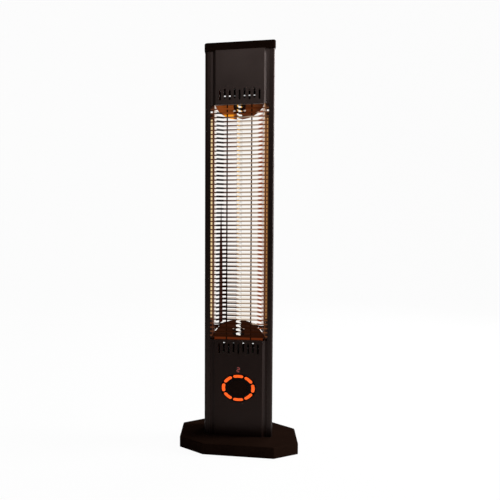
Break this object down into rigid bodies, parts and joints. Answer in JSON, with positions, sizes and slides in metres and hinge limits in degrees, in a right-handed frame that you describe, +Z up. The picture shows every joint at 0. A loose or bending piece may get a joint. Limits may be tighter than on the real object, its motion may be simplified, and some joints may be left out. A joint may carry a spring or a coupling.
{
  "type": "infrared patio heater tower",
  "caption": "Free-standing infrared heater tower: a slim column on a flat octagonal base, with a guarded spiral element in a trough reflector and a lit ring button.",
  "frame": {"origin": "on the floor, in the middle of the base's outline", "axes": "+Z up along the column, the heater faces -Y, +X to the right as seen from the front"},
  "size_m": [0.257, 0.167, 0.8961],
  "materials": {
    "cover_black": "dark satin moulding",
    "column_black": "dark satin paint",
    "steel_zinc": "zinc plated sheet",
    "ballast": "painted plate",
    "guard_wire": "heat-proof dark enamel",
    "reflector_bright": "mirror polished",
    "screw_steel": "bright",
    "quartz": "clear fused quartz",
    "filament_glow": "glowing carbon ribbon",
    "ceramic": "unglazed ceramic",
    "mica": "pressed mica",
    "rubber_black": "matte",
    "ring_orange": "lit diffuser",
    "button_black": "satin",
    "digit_dark": "tinted window",
    "digit_red": "lit bars",
    "board_green": "solder mask",
    "plastic_white": "nylon",
    "sink_aluminium": "extruded",
    "lead_brown": "silicone sleeve"
  },
  "bodies": {
    "stand": {"base_cover": "cover_black", "base_plate": "ballast", "board_screws": "screw_steel", "carbon_filament": "filament_glow", "ceramic_cap_lower": "ceramic", "ceramic_cap_upper": "ceramic", "column_bracket": "steel_zinc", "column_bracket_screws": "screw_steel", "control_board": "board_green", "cord_gland": "cover_black", "digit_bars": "digit_red", "digit_display": "digit_dark", "element_pins": "steel_zinc", "end_plate_screws": "screw_steel", "front_guard": "guard_wire", "heat_sink": "sink_aluminium", "infrared_receiver": "digit_dark", "lead_wire_lower": "lead_brown", "lead_wire_upper": "lead_brown", "lower_cross_bracket": "steel_zinc", "lower_front_panel": "cover_black", "mica_plate_lower": "mica", "mica_plate_upper": "mica", "quartz_tube": "quartz", "rear_cover": "column_black", "rear_cover_screws": "screw_steel", "reflector": "reflector_bright", "reflector_end_lower": "reflector_bright", "reflector_end_upper": "reflector_bright", "ring_bezel": "button_black", "ring_light": "ring_orange", "rubber_feet": "rubber_black", "side_profile_left": "column_black", "side_profile_right": "column_black", "tact_switch": "button_black", "terminal_block": "plastic_white", "thermal_cutout": "ceramic", "tip_microswitch": "button_black", "tip_switch_housing": "plastic_white", "tip_switch_spring": "screw_steel", "top_cap": "cover_black", "tube_holder_lower": "steel_zinc", "tube_holder_upper": "steel_zinc", "upper_cross_bracket": "steel_zinc", "upper_front_panel": "cover_black"},
    "button": {"power_button": "button_black"},
    "plunger": {"tip_switch_plunger": "plastic_white"}
  },
  "joints": [
    {"name": "button_press", "type": "slide", "parent": "stand", "child": "button", "axis": [0, 1, 0], "range_m": [0, 0.0015], "stiffness_N_per_m": 300, "springref_m": -0.002},
    {"name": "tip_plunger_slide", "type": "slide", "parent": "stand", "child": "plunger", "axis": [0, 0, -1], "range_m": [0, 0.005], "stiffness_N_per_m": 80, "springref_m": 0.012, "deforming": ["tip_switch_spring"]}
  ]
}
